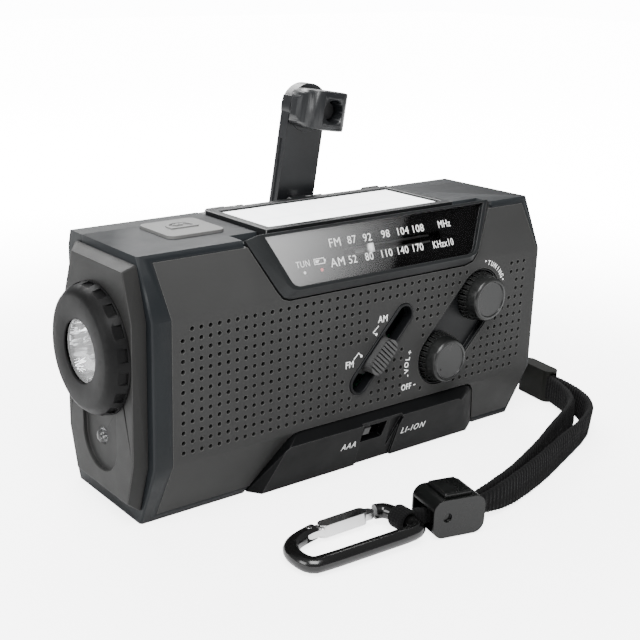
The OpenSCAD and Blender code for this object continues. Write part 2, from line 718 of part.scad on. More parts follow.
// Cylinder on the hinge axis, centred on the arm
module on_hinge(r, length) {
  translate([0, arm_pin_y, 0]) rotate([0, 90, 0])
    cylinder(r = r, h = length, center = true, $fn = 32);
}
module crank_shaft() color([0.5, 0.5, 0.5]) difference() {
  union() {
    cyl_y(crank_axis, 9, 22, crank_shaft_r, 64);
    cyl_y(crank_axis, 20.6, 22.4, hub_r, 64);
    // fork that carries the hinge pin of the arm
    on_arm() for (side = [-1, 1]) translate([side * 7.2 - 1.1, 0, 0]) {
      box([0, 22.3, -2.6], [2.2, 2.9, 5.2]);
      cyl_x([arm_pin_y, 0], 0, 2.2, 2.6, 32);
    }
  }
  on_arm() on_hinge(arm_pin_r + fit, 40);
  // flat that drives the gear
  box([crank_axis[0] + 3, 8, crank_axis[1] - 5], [3, 5.1, 10]);
}
module drive_gear() color([0.9, 0.9, 0.86]) to_front(crank_axis, 13.0) difference() {
  gear(40, 0.5, 3.8);
  // D-shaped bore
  translate([0, 0, -1]) linear_extrude(6) difference() {
    circle(crank_shaft_r + fit, $fn = 64);
    translate([3 + fit, -6]) square([4, 12]);
  }
}
module idler_gear() color([0.86, 0.84, 0.78]) {
  to_front(idler_axis, 13.2) rotate(180 + 180 / 12) gear(12, idler_spindle_r + fit, 4.2, 0.4);
  to_front(idler_axis, 17.4) gear(34, idler_spindle_r + fit, 4.2);
}
module generator_pinion() color([0.8, 0.7, 0.4]) {
  to_front(generator_axis, 17.2) rotate(180 + 180 / 12) gear(12, 0.5, 3.8, 0.4);
  cyl_y(generator_axis, 2.4, 17.2, generator_shaft_r, 24);
}
module crank_arm() color([0.13, 0.14, 0.16]) on_arm() difference() {
  union() {
    box([-7.1, 23.2, 7], [14.2, 4, crank_reach - 4]);
    box([-5.9, 23.2, 0], [11.8, 4, 8]);
    on_hinge(2.0, 11.8);
    // head that carries the grip
    cyl_y(grip, 22.8, 27.2, 7.4, 64);
  }
  on_hinge(arm_pin_r + fit, 40);
  cyl_y(grip, 18, 30, grip_pin_r + fit, 32);
  // shallow groove lines on both sides
  for (side = [-1, 1]) box([side * 7.1 - 0.35, 24.5, 12], [0.7, 1.2, crank_reach - 22]);
  // seat of the pin head
  cyl_y(grip, 25.8, 28, 3.6, 32);
}
module crank_hinge_pin() color([0.7, 0.7, 0.7]) on_arm() on_hinge(arm_pin_r, 16.6);
module knob_pin() color([0.7, 0.7, 0.7]) on_arm() {
  cyl_y(grip, 26.1, 27.1, 3.5, 32);
  cyl_y(grip, 14.8, 26.4, grip_pin_r, 32);
  cyl_y(grip, 14.2, 15.0, 2.6, 32);
}
module crank_knob() color([0.15, 0.16, 0.18]) on_arm() difference() {
  // waisted half outline, [x, y], from the free end's corner to the arm
  waist = [[7.55, 17.2], [8.0, 18.6], [8.2, 20], [8.0, 21.4], [7.2, 22.7]];
  translate([0, 0, crank_reach]) intersection() {
    // oval block, waisted in plan and rounded towards its free end
    to_front([0, 0], 23) linear_extrude(14) rounded_rect([16.1, 11.8], 4.1, 40);
    translate([0, 0, -10]) linear_extrude(20) polygon(concat(
      [for (i = [4:-1:0]) [-waist[i][0], waist[i][1]]],
      [for (a = [180:10:360]) [7.4 * cos(a), 15.6 + 5.2 * sin(a)]],
      waist));
    to_right([-10, 16.8, 0]) linear_extrude(20) rounded_rect([13.4, 11.9], 3.3, 40);
  }
  cyl_y(grip, 0, 30, grip_pin_r + fit, 32);
  cyl_y(grip, 3.2, 15.2, 3.5);
}

/* ---------- top ---------- */
knuckle_starts = [-27, 3, 33];   // left end of each lid knuckle

module torch_button() color([0.56, 0.56, 0.54]) at_button() {
  translate([0, 0, 69.9]) linear_extrude(4.5) rounded_rect(button_size, 2.2);
  translate([0, 0, 69.9]) linear_extrude(1.1) rounded_rect([20.6, 20.2], 2.2);
  // raised mark: arc, three short strokes and a bar
  translate([0, 0, 74.3]) linear_extrude(0.5) {
    difference() {
      circle(4.4, $fn = 48);
      circle(3.4, $fn = 48);
      translate([-6, -6]) square([12, 4.4]);
    }
    for (a = [60, 90, 120]) rotate(a) translate([1.2, -0.45]) square([1.5, 0.9]);
    translate([-4.4, -1.9]) square([8.8, 0.9]);
  }
}
module solar_frame() color([0.3, 0.31, 0.32]) difference() {
  union() {
    box([lid_left, -12.6, 71.8], [lid_length, 29.6, 3]);
    for (x = knuckle_starts) {
      cyl_x(lid_axis, x, x + 6, 1.7, 32);
      box([x, 16.5, 72.0], [6, 2.7, 2.0]);
    }
    box([lid_left, 16.9, 71.8], [lid_length, 0.3, 3]);
  }
  for (x = knuckle_starts) cyl_x(lid_axis, x - 1, x + 7, lid_pin_r + fit, 24);
  // seats of the solar cell and the reading lamp
  box([-26.4, -10.2, 73.5], [64.8, 24.8, 4]);
  box([-20, -8, 70], [46, 9.4, 2.9]);
}
module solar_cell() color([0.92, 0.93, 0.95]) box([-26.2, -10, 73.55], [64.4, 24.4, 0.6]);
module reading_lamp() color([0.95, 0.95, 0.85]) {
  box([-19.8, -7.8, 71.9], [45.6, 9, 0.95]);
  for (i = [0:5]) cyl_z([-15 + 7.2 * i, -3.3], 71.3, 72, 1.8, 24);
}
// Pin with the two lugs that stand on the pocket floor
module lid_hinge_pin() color([0.7, 0.7, 0.7]) {
  cyl_x(lid_axis, -29.5, 41.5, lid_pin_r, 24);
  for (x = [-20.5, 9.5]) {
    cyl_x(lid_axis, x, x + 6, 1.5, 24);
    box([x, lid_axis[0] - 1.2, 70.45], [6, 2.4, 2]);
  }
}

/* ---------- aerial ---------- */
module aerial_base() color([0.75, 0.76, 0.78]) difference() {
  cyl_z([-63.6, aerial_axis[0]], aerial_axis[1] - 2.5, aerial_axis[1] + 2.5, 2.3, 32);
  box([-62.6, aerial_axis[0] - 4, 60], [6, 8, 12]);
}
module aerial_tube() color([0.8, 0.81, 0.83]) difference() {
  cyl_x(aerial_axis, -62.5, -8, 2.2, 32);
  cyl_x(aerial_axis, -61, -7, 1.5 + fit, 32);
}
module aerial_rod() color([0.85, 0.86, 0.88]) {
  cyl_x(aerial_axis, -60.5, -7.6, 1.5, 24);
  cyl_x(aerial_axis, -7.7, -4.2, 2.2, 32);
}

/* ---------- strap, lock and clip ---------- */
// Centre lines of the webbing in plan, [x, y]
lead = [
  [strap_bar[0] + 1.4, 3.8], [strap_bar[0] + 5.4, 1.8], [88.6, 1.2], [91.4, -1.4],
  [92.2, -5], [91.2, -11], [89.9, -17.4]];
outer_run = [
  [90.2, -17], [88.2, -26.6], [85.7, -32.8], [82, -38.4], [78, -42], [73, -45.4],
  [66, -48.4], [58.6, -50.9], [49.2, -53.8], [36.1, -58.4], [23.2, -61.9], [13, -63.6],
  [6, -63.4]];
inner_run = [
  [89, -16.6], [86, -24], [83, -29.5], [79, -34.3], [72, -38.4], [64, -41.8],
  [54, -46.2], [45.7, -49.8], [36, -53.6], [30.4, -56], [20, -59.3], [12, -61],
  [6, -61.6]];
tail_run = [[7, -62.5], [-3.9, -61.2], [-12.4, -58.3]];
clip_eye = [-15.4, -56.4, 3.8];

// Webbing on its edge, from height z upward
module web(z, path, half_t, height = web_h) {
  translate([0, 0, z]) linear_extrude(height) polygon(band(path, half_t));
}
module strap_webbing() color([0.09, 0.09, 0.09]) {
  web(0.7, outer_run, web_t / 2);
  web(0.75, inner_run, web_t / 2);
  // loop round the strap bar
  translate([0, 0, 11]) linear_extrude(web_h) difference() {
    union() {
      translate(strap_bar) circle(2.9, $fn = 48);
      polygon(band([lead[0], lead[1]], 1.32));
    }
    translate(strap_bar) circle(1.08, $fn = 32);
  }
  // overlapping pieces that step down, then the run through the ferrule
  for (i = [1:3]) let (along = unit(lead[i + 1] - lead[i]))
    web(11 - 3.3 * (i - 1), [lead[i] - along, lead[i + 1] + 0.6 * along], 1.3 - 0.01 * i);
  web(1.3, [lead[4], lead[5], lead[6]], 1.1);
  // narrow tail that passes through the lock and ends in a loop round the clip
  web(2.5, tail_run, 1.3, 4.3);
  translate(clip_eye) rotate([90, 0, 0]) translate([0, 0, -2.6])
    linear_extrude(5.2) difference() {
      circle(3.2, $fn = 48);
      circle(2.1, $fn = 48);
    }
}
module strap_ferrule() color([0.14, 0.14, 0.12]) difference() {
  translate([0, 0, 0.4]) linear_extrude(11) pill([91.9, -5], [90.2, -15.4], 2.7, 24);
  translate([0, 0, 0.9]) linear_extrude(9.9) pill([92.8, -1.0], [89.6, -20], 1.5, 20);
}

// Lock frame: x along the tail that runs through it
module on_lock() {
  translate([-3.9, -61.4, 0]) rotate(-14) children();
}
module cord_lock_housing() color([0.07, 0.07, 0.08]) on_lock() difference() {
  to_front([0, 5.8], 5.7) linear_extrude(11.4) rounded_rect([15.4, 10.8], 3.2, 32);
  // tunnel for the webbing, widened at both mouths
  translate([0, 0, 4.9]) cube([20, 8.6, 6.0], center = true);
  for (side = [-1, 1]) translate([side * 7.2, 0, 4.9]) cube([4.4, 10, 6.6], center = true);
  // well of the slider
  box([-4.1, -4.6, 2.2], [8.2, 9.2, 12]);
  // small round hole in the front side
  cyl_y([-3.6, 6.2], -20, -4.9, 1.3, 24);
}
module cord_lock_slider() color([0.1, 0.13, 0.1]) on_lock() difference() {
  box([-4, -4.5, 4.2], [8, 9.0, 8.2]);
  box([-5, -3.6, 1.8], [10, 7.2, 6.6]);
}

// Clip frame: laid almost flat, origin at the strap loop
module on_clip() {
  translate(clip_eye) rotate([0, -2, 0]) children();
}
// Centre lines of the clip's wire, [x, y]
clip_path = soften([
  [-23.0, 8.85], [-30.4, 7.7], [-34.3, 4.2], [-34.3, -3.8],
  [-29.4, -4.8], [-6.5, -6.9], [-0.4, -6.9], [0.1, -3.3]], 2);
clip_nose = soften([[0.1, 3.3], [-0.8, 6.5], [-3.4, 7.3]], 2);
gate_rivet = [-24.6, 8.6];

module carabiner_body() color([0.05, 0.05, 0.05]) on_clip() difference() {
  union() {
    wire(clip_path, 2.1);
    wire(clip_nose, 2.05);
    // bar inside the strap loop
    cyl_y([0, 0], -4.6, 4.6, 1.9, 32);
  }
  // fork and rivet hole of the gate, notch for its tip
  box([gate_rivet[0] - 2.4, gate_rivet[1] - 6, -1.1], [8, 10, 2.2]);
  cyl_z(gate_rivet, -4, 4, rivet_r + fit, 24);
  box([-7.6, 4.4, -1.1], [4.2, 6, 2.2]);
}
module carabiner_gate() color([0.8, 0.8, 0.82]) on_clip() {
  translate([0, 0, -1]) linear_extrude(2)
    polygon(stadium(gate_rivet, [-5.6, 7.35], 1.5, 12));
  translate([0, 0, -1.8]) linear_extrude(3.6)
    polygon(stadium(gate_rivet + [4.6, -0.31], [-8.3, 7.53], 1.7, 14));
  cyl_z(gate_rivet, -2.1, 2.1, rivet_r, 24);
}

front_housing();
rear_housing();
grille_panel();
dial_bezel();
dial_plate();
dial_window();
left_end_cap();
right_end_cap();
torch_ring();
torch_reflector();
torch_lens();
torch_led();
indicator_lens();
switch_bezel();
knob_plate();
slot_plate();
circuit_board();
speaker_basket();
speaker_cone();
tuning_capacitor();
volume_control();
band_switch();
ferrite_rod();
lithium_cell();
aaa_cells();
battery_contacts();
generator();
housing_screws();
usb_ports();
lid_hinge_pin();
tuning_knob();
tuning_shaft();
volume_knob();
volume_shaft();
dial_pointer();
band_slider();
battery_selector();
torch_button();
solar_frame();
solar_cell();
reading_lamp();
crank_shaft();
drive_gear();
idler_gear();
generator_pinion();
crank_arm();
crank_hinge_pin();
crank_knob();
knob_pin();
aerial_base();
aerial_tube();
aerial_rod();
port_cover();
battery_door();
strap_ferrule();
strap_webbing();
cord_lock_housing();
cord_lock_slider();
carabiner_body();
carabiner_gate();
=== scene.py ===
"""Hand-crank radio with a wrist strap, finished over its CAD pieces.

The radio stands on z = 0 and runs along x. Its three-facet front faces -y; the strap leaves
the +x end and curves round in front. Pieces are sized in millimetres (MM turns them into
metres); materials, lights and the camera are in metres.
"""
import bpy, bmesh, math, json, random
from mathutils import Vector, Matrix

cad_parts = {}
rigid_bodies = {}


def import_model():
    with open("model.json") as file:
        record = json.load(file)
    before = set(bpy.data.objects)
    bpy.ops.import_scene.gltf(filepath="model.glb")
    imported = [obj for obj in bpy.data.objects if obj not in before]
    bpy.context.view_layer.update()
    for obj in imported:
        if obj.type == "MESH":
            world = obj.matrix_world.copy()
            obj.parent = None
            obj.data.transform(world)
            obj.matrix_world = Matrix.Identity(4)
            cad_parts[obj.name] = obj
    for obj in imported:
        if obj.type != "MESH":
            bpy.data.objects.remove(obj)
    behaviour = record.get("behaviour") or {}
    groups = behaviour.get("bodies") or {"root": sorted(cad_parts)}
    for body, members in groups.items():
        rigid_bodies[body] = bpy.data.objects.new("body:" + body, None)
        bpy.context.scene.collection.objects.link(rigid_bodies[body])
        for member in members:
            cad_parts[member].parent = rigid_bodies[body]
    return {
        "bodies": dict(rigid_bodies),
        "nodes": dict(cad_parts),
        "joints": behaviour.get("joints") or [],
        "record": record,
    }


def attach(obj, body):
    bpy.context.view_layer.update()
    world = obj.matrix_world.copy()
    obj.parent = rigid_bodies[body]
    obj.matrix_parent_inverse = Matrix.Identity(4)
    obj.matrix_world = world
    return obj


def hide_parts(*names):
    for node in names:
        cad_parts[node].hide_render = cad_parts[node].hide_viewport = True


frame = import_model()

MM = 0.001
RADIO, STRAP = "radio_body", "wrist_strap"  # bodies that the added pieces ride on
random.seed(7)

# Housing section in y, z: the front facets meet at the first four corners.
BASE_EDGE = (-14.4, 0)
LOWER_EDGE = (-22.1, 18.4)
UPPER_EDGE = (-22.1, 58)
TOP_EDGE = (-15.1, 73.6)
SECTION = [BASE_EDGE, LOWER_EDGE, UPPER_EDGE, TOP_EDGE, (20.6, 73.6), (22.1, 69), (22.1, 5), (20, 0)]
HOUSING_ENDS = (-70.5, 71.0)   # x of the end faces
JOINT_PLANES = (13.95, 14.0)   # y where the front and rear housings meet


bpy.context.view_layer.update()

# ------------------------------------------------------------------ shader node helpers
MATERIALS = {}


def rgba(color):
    return (*color, 1.0)


def set_inputs(tree, node, inputs):
    """Give each input a plain value, or a link if the value is an output socket."""
    for key, value in inputs.items():
        if isinstance(value, bpy.types.NodeSocket):
            tree.links.new(value, node.inputs[key])
        else:
            node.inputs[key].default_value = value


def add_node(tree, kind, inputs=None, **settings):
    node = tree.nodes.new("ShaderNode" + kind)
    for key, value in settings.items():
        setattr(node, key, value)
    set_inputs(tree, node, inputs or {})
    return node


def math_node(tree, operation, *values):
    return add_node(tree, "Math", dict(enumerate(values)), operation=operation).outputs[0]


def noise(tree, vector, scale, detail):
    inputs = {"Vector": vector, "Scale": scale, "Detail": detail}
    return add_node(tree, "TexNoise", inputs).outputs["Fac"]


def map_range(tree, value, from_min=0.0, from_max=1.0, to_min=0.0, to_max=1.0, **settings):
    inputs = {"Value": value, "From Min": from_min, "From Max": from_max,
              "To Min": to_min, "To Max": to_max}
    return add_node(tree, "MapRange", inputs, **settings).outputs[0]


def coordinates(tree, kind="Object"):
    return add_node(tree, "TexCoord").outputs[kind]


def source_of(shader, key):
    return shader.inputs[key].links[0].from_socket


def new_material(name):
    material = bpy.data.materials.new(name)
    material.use_nodes = True
    MATERIALS[name] = material
    return material


# ------------------------------------------------------------------ material builders
def painted_edge_highlight(tree, color, edge_highlight, edge_highlight_color):
    """Mix in a painted highlight colour along edges, where a rounded normal departs from the true
    one.
    """
    true_normal = add_node(tree, "NewGeometry").outputs["Normal"]
    rounded = add_node(tree, "Bevel", {"Radius": 0.00022}, samples=4).outputs[0]
    likeness = add_node(tree, "VectorMath", {0: rounded, 1: true_normal},
                        operation="DOT_PRODUCT").outputs["Value"]
    edge = map_range(tree, likeness, from_min=0.995, from_max=0.95)
    amount = math_node(tree, "MULTIPLY", edge, edge_highlight)
    return add_node(tree, "MixRGB", {0: amount, 1: color, 2: rgba(edge_highlight_color)}).outputs[0]


def scratched(tree, coords, height, depth):
    """Cut thin lines, taken from the peaks of a stretched noise, into a bump height."""
    stretched = add_node(tree, "Mapping", {
        "Vector": coords, "Rotation": (0.4, 0.7, 0.3), "Scale": (60.0, 2600.0, 900.0)})
    lines = noise(tree, stretched.outputs[0], scale=1.0, detail=2.0)
    mask = math_node(tree, "GREATER_THAN", lines, 0.72)
    return math_node(tree, "MULTIPLY_ADD", mask, -depth, height)


def surface(name, color, rough=0.45, metal=0.0, coat=0.0, coat_rough=0.08, grain=2600.0,
            bump=0.15, color_var=0.12, var_scale=35.0, rough_var=0.10, edge_highlight=0.0,
            edge_highlight_color=(0.5, 0.5, 0.5), spec=0.5, scratch=0.0, sheen=0.0):
    """Principled material with mottled colour, smudged roughness and a fine grain.

    color_var and rough_var are the swing either side of the colour and the roughness,
    var_scale the noise scale of the mottling, grain and bump the scale and strength of the
    grain, the two edge-highlight arguments the amount and colour of a painted highlight on edges,
    scratch the depth of the scratches.
    """
    material = new_material(name)
    tree = material.node_tree
    coords = coordinates(tree)
    ramp = add_node(tree, "ValToRGB", {"Fac": noise(tree, coords, var_scale, detail=5.0)})
    dark, light = ramp.color_ramp.elements
    dark.position, light.position = 0.3, 0.72
    dark.color = rgba([max(0.0, v * (1 - color_var)) for v in color])
    light.color = rgba([min(1.0, v * (1 + color_var)) for v in color])
    base = ramp.outputs["Color"]
    # painted highlight: a lighter colour mixed in along edges
    if edge_highlight > 0:
        base = painted_edge_highlight(tree, base, edge_highlight, edge_highlight_color)
    smudges = noise(tree, coords, var_scale * 4.0, detail=6.0)
    height = noise(tree, coords, grain, detail=3.0)
    if scratch > 0:
        height = scratched(tree, coords, height, scratch)
    relief = add_node(tree, "Bump", {"Height": height, "Strength": bump, "Distance": 0.00005})
    shader = tree.nodes["Principled BSDF"]
    set_inputs(tree, shader, {
        "Base Color": base,
        "Roughness": map_range(tree, smudges, to_min=max(0.02, rough - rough_var),
                               to_max=min(1.0, rough + rough_var)),
        "Metallic": metal,
        "Coat Weight": coat,
        "Coat Roughness": coat_rough,
        "Specular IOR Level": spec,
        "Normal": relief.outputs["Normal"]})
    if sheen:
        set_inputs(tree, shader, {"Sheen Weight": sheen, "Sheen Roughness": 0.6})
    return material


def glass(name, tint, reflection=1.0):
    """Thin clear sheet: transparent, with reflection growing towards grazing angles."""
    material = new_material(name)
    tree = material.node_tree
    tree.nodes.remove(tree.nodes["Principled BSDF"])
    clear = add_node(tree, "BsdfTransparent", {"Color": rgba(tint)})
    gloss = add_node(tree, "BsdfGlossy", {"Roughness": 0.0})
    facing = add_node(tree, "LayerWeight", {"Blend": 0.5}).outputs["Facing"]
    grazing = math_node(tree, "POWER", facing, 4.0)
    share = math_node(tree, "MULTIPLY_ADD", grazing, 0.8 * reflection, 0.035 * reflection)
    sheet = add_node(tree, "MixShader", {0: share, 1: clear.outputs[0], 2: gloss.outputs[0]})
    set_inputs(tree, tree.nodes["Material Output"], {"Surface": sheet.outputs[0]})
    return material


def dial_glass():
    """Clear sheet with a painted reflection, a pale patch that fades towards +x and ends on a
    slanted line.
    """
    tree = glass("dial_glass", (0.98, 0.98, 0.98), reflection=0.08).node_tree
    output = tree.nodes["Material Output"]
    axes = add_node(tree, "SeparateXYZ", {0: coordinates(tree)}).outputs
    across = math_node(tree, "MULTIPLY_ADD", axes["Z"], -0.80, axes["X"])
    end = map_range(tree, across, from_min=-0.0412, from_max=-0.0398, to_min=1.0, to_max=0.0)
    fade = map_range(tree, across, from_min=-0.094, from_max=-0.040, to_min=1.0, to_max=0.22)
    shape = math_node(tree, "MULTIPLY", math_node(tree, "POWER", fade, 2.0), end)
    amount = math_node(tree, "MULTIPLY", shape, 0.34)
    # painted reflection: a pale diffuse patch laid over the clear sheet
    pale = add_node(tree, "BsdfDiffuse", {"Color": rgba((0.6, 0.6, 0.6))})
    sheet_with_painted_reflection = add_node(tree, "MixShader", {
        0: amount, 1: source_of(output, "Surface"), 2: pale.outputs[0]})
    set_inputs(tree, output, {"Surface": sheet_with_painted_reflection.outputs[0]})


def strap_fabric():
    """Woven webbing read from UVs: u along the strap in metres, v round its section."""
    tree = surface("strap_fabric", (0.0042, 0.0042, 0.0045), rough=0.85, bump=0.2, grain=5200.0,
                   color_var=0.25, sheen=0.02, rough_var=0.08, spec=0.12).node_tree
    shader = tree.nodes["Principled BSDF"]
    threads = add_node(tree, "Mapping", {
        "Vector": coordinates(tree, "UV"), "Scale": (420.0, 10.0, 1.0)}).outputs[0]
    warp, weft = [add_node(tree, "TexWave", {"Vector": threads, "Scale": 1.0, "Distortion": 0.4},
                           bands_direction=axis).outputs["Fac"] for axis in "XY"]
    weave = math_node(tree, "MULTIPLY", warp, weft)
    relief = add_node(tree, "Bump", {"Height": weave, "Strength": 0.75, "Distance": 0.0002,
                                     "Normal": source_of(shader, "Normal")})
    shaded = add_node(tree, "MixRGB", {0: 0.55, 1: source_of(shader, "Base Color"), 2: weave},
                      blend_type="MULTIPLY")
    set_inputs(tree, shader, {"Normal": relief.outputs["Normal"],
                              "Base Color": shaded.outputs[0]})


def solar_glass():
    """Coated cells painted pale in a faint grid, glowing for the camera only: the pale colour and
    the glow are a painted reflection.
    """
    tree = surface("solar_glass", (0.86, 0.87, 0.88), rough=0.16, coat=0.6, coat_rough=0.03,
                   bump=0.03, color_var=0.04, var_scale=12.0).node_tree
    shader = tree.nodes["Principled BSDF"]
    cells = add_node(tree, "Mapping", {"Vector": coordinates(tree), "Scale": (62.0, 31.0, 1.0)})
    grid = add_node(tree, "TexBrick", {
        "Vector": cells.outputs[0],
        "Color1": (1, 1, 1, 1),
        "Color2": (0.95, 0.96, 0.97, 1),
        "Mortar": (0.7, 0.72, 0.75, 1),
        "Scale": 1.0,
        "Mortar Size": 0.012,
        "Brick Width": 0.5,
        "Row Height": 0.5}, offset=0.0)
    color = add_node(tree, "MixRGB", {
        0: 0.6, 1: source_of(shader, "Base Color"), 2: grid.outputs["Color"]},
        blend_type="MULTIPLY").outputs[0]
    # camera-only glow: a painted reflection
    seen = add_node(tree, "LightPath").outputs["Is Camera Ray"]
    set_inputs(tree, shader, {"Base Color": color, "Emission Color": color,
                              "Emission Strength": math_node(tree, "MULTIPLY", seen, 5.0)})


# ------------------------------------------------------------------ materials
surface("shell_plastic", (0.0068, 0.0084, 0.0098), rough=0.5, edge_highlight=0.35,
        edge_highlight_color=(0.05, 0.055, 0.06), scratch=0.05, spec=0.2)
surface("panel_plastic", (0.026, 0.026, 0.0256), rough=0.62, bump=0.5, grain=3800.0, edge_highlight=0.55,
        edge_highlight_color=(0.15, 0.15, 0.145), spec=0.2)
surface("bezel_gloss", (0.0095, 0.0105, 0.011), rough=0.4, bump=0.08, spec=0.22, edge_highlight=0.4,
        edge_highlight_color=(0.07, 0.07, 0.07))
surface("dial_black", (0.0012, 0.0012, 0.0013), rough=0.7, bump=0.1, spec=0.05)
dial_glass()
surface("cap_plastic", (0.0135, 0.0135, 0.0131), rough=0.55, bump=0.45, grain=3800.0, edge_highlight=0.4,
        edge_highlight_color=(0.10, 0.10, 0.10), spec=0.2)
surface("ring_rubber", (0.0022, 0.0022, 0.0023), rough=0.5, bump=0.3, grain=3000.0, spec=0.13)
surface("reflector_chrome", (0.62, 0.62, 0.62), rough=0.05, metal=1.0, bump=0.0,
        color_var=0.02, rough_var=0.03)
glass("clear_lens", (0.98, 0.985, 0.99))
surface("led_white", (0.8, 0.78, 0.6), rough=0.3, coat=0.4)
surface("lower_gloss", (0.0024, 0.0026, 0.0028), rough=0.5, bump=0.05, scratch=0.03, spec=0.09,
        edge_highlight=0.5, edge_highlight_color=(0.1, 0.1, 0.1))
surface("recess_plastic", (0.0042, 0.0046, 0.0052), rough=0.42, bump=0.08, spec=0.18)
surface("board_green", (0.02, 0.13, 0.06), rough=0.3, coat=0.4)
surface("steel_plain", (0.5, 0.5, 0.5), rough=0.3, metal=1.0, scratch=0.2)
surface("steel_dark", (0.02, 0.02, 0.021), rough=0.45, metal=0.6, scratch=0.1)
surface("cone_paper", (0.006, 0.006, 0.006), rough=0.9, bump=0.5, spec=0.1)
surface("capacitor_plastic", (0.7, 0.7, 0.62), rough=0.4)
surface("ferrite_grey", (0.06, 0.06, 0.065), rough=0.7)
surface("cell_wrap", (0.05, 0.13, 0.33), rough=0.3, coat=0.4)
surface("aaa_wrap", (0.45, 0.3, 0.08), rough=0.3, coat=0.4)
surface("contact_spring", (0.7, 0.68, 0.6), rough=0.2, metal=1.0)
surface("socket_metal", (0.55, 0.55, 0.56), rough=0.3, metal=1.0)
surface("knob_gloss", (0.0062, 0.0066, 0.0064), rough=0.3, coat=0.12, coat_rough=0.15, bump=0.06,
        spec=0.32, edge_highlight=0.35, edge_highlight_color=(0.12, 0.12, 0.12))
surface("pointer_white", (0.85, 0.85, 0.85), rough=0.5)
surface("slider_grey", (0.045, 0.045, 0.045), rough=0.42, spec=0.3)
surface("button_grey", (0.13, 0.13, 0.127), rough=0.5, bump=0.25, spec=0.25, edge_highlight=0.3,
        edge_highlight_color=(0.4, 0.4, 0.4))
surface("lid_plastic", (0.008, 0.0085, 0.009), rough=0.35, bump=0.1, edge_highlight=0.75,
        edge_highlight_color=(0.4, 0.4, 0.4), spec=0.3)
surface("gear_nylon", (0.8, 0.79, 0.74), rough=0.45)
surface("pinion_brass", (0.75, 0.58, 0.25), rough=0.25, metal=1.0)
surface("crank_plastic", (0.0062, 0.0068, 0.0078), rough=0.34, bump=0.12, scratch=0.04,
        spec=0.42, coat=0.1, coat_rough=0.2)
surface("aerial_chrome", (0.8, 0.8, 0.82), rough=0.12, metal=1.0, bump=0.03)
surface("ferrule_plastic", (0.005, 0.0053, 0.0042), rough=0.55, bump=0.5, grain=2200.0, spec=0.15)
surface("lock_gloss", (0.0026, 0.0029, 0.0028), rough=0.28, coat=0.2, coat_rough=0.12, bump=0.06,
        spec=0.3)
surface("clip_paint", (0.0016, 0.0016, 0.0016), rough=0.22, coat=0.4, coat_rough=0.06, bump=0.03,
        spec=0.45)
surface("gate_chrome", (0.9, 0.9, 0.91), rough=0.14, metal=1.0, bump=0.03)
strap_fabric()
surface("figure_white", (0.88, 0.88, 0.87), rough=0.55, color_var=0.04)
surface("figure_grey", (0.03, 0.03, 0.03), rough=0.55, color_var=0.04)
surface("led_red", (0.75, 0.13, 0.14), rough=0.3, coat=0.3)
solar_glass()

# ------------------------------------------------------------------ CAD pieces: finish and edges
# bevel width in mm; pieces not listed keep their edges
EDGE_WIDTHS = {
    "left_end_cap": 0.4, "right_end_cap": 0.4, "torch_ring": 0.3, "dial_bezel": 0.3,
    "switch_bezel": 0.15, "knob_plate": 0.25, "slot_plate": 0.25, "solar_frame": 0.35,
    "torch_button": 0.45, "crank_arm": 0.6, "battery_door": 0.3, "port_cover": 0.4,
    "strap_ferrule": 0.6, "cord_lock_housing": 0.7, "cord_lock_slider": 0.6,
    "carabiner_body": 0.25, "carabiner_gate": 0.9, "band_slider": 0.18,
    "battery_selector": 0.3, "crank_shaft": 0.3, "grille_panel": 0.18, "housing_screws": 0.15,
    "aerial_base": 0.3, "tuning_knob": 0.12, "volume_knob": 0.12}
HOUSING_EDGE = 1.4
# pieces whose flat faces are not merged
KEEP_FACES = ("battery_door", "left_end_cap", "right_end_cap", "port_cover", "usb_ports",
              "crank_arm", "crank_knob")


def add_modifier(piece, name, kind, **settings):
    modifier = piece.modifiers.new(name, kind)
    for key, value in settings.items():
        setattr(modifier, key, value)


def weld(piece):
    add_modifier(piece, "weld", "WELD", merge_threshold=1e-6)


def merge_flat_faces(piece):
    add_modifier(piece, "plan", "DECIMATE", decimate_type="DISSOLVE",
                 angle_limit=math.radians(0.8))


def shade(mesh, smooth):
    for polygon in mesh.polygons:
        polygon.use_smooth = smooth


def on_outer_corner(point):
    """Is a housing vertex on the outline of an end face, away from the housing joint?"""
    x, y, z = point.x / MM, point.y / MM, point.z / MM
    if any(abs(y - plane) < 0.12 for plane in JOINT_PLANES):
        return False
    if not any(abs(x - end) < 0.05 for end in HOUSING_ENDS):
        return False
    spot = Vector((y, z))
    for i in range(len(SECTION)):
        a, b = Vector(SECTION[i]), Vector(SECTION[(i + 1) % len(SECTION)])
        t = max(0.0, min(1.0, (spot - a).dot(b - a) / (b - a).length_squared))
        if (spot - a - t * (b - a)).length < 0.06:
            return True
    return False


def finish_front_housing(piece):
    weld(piece)
    merge_flat_faces(piece)
    group = piece.vertex_groups.new(name="edge")
    group.add([v.index for v in piece.data.vertices if on_outer_corner(v.co)], 1.0, "REPLACE")
    add_modifier(piece, "edge", "BEVEL", limit_method="VGROUP", vertex_group="edge",
                 width=HOUSING_EDGE * MM, segments=4, use_clamp_overlap=True)
    add_modifier(piece, "wn", "WEIGHTED_NORMAL")


def finish_piece(piece, name):
    weld(piece)
    if name not in KEEP_FACES:
        merge_flat_faces(piece)
    if name in EDGE_WIDTHS:
        add_modifier(piece, "edge", "BEVEL", limit_method="ANGLE", angle_limit=math.radians(32),
                     width=EDGE_WIDTHS[name] * MM, segments=3, use_clamp_overlap=True,
                     miter_outer="MITER_ARC")
    add_modifier(piece, "wn", "WEIGHTED_NORMAL")


slot_names = {part["node"]: part["material_slot"] for part in frame["record"].get("subparts", [])}
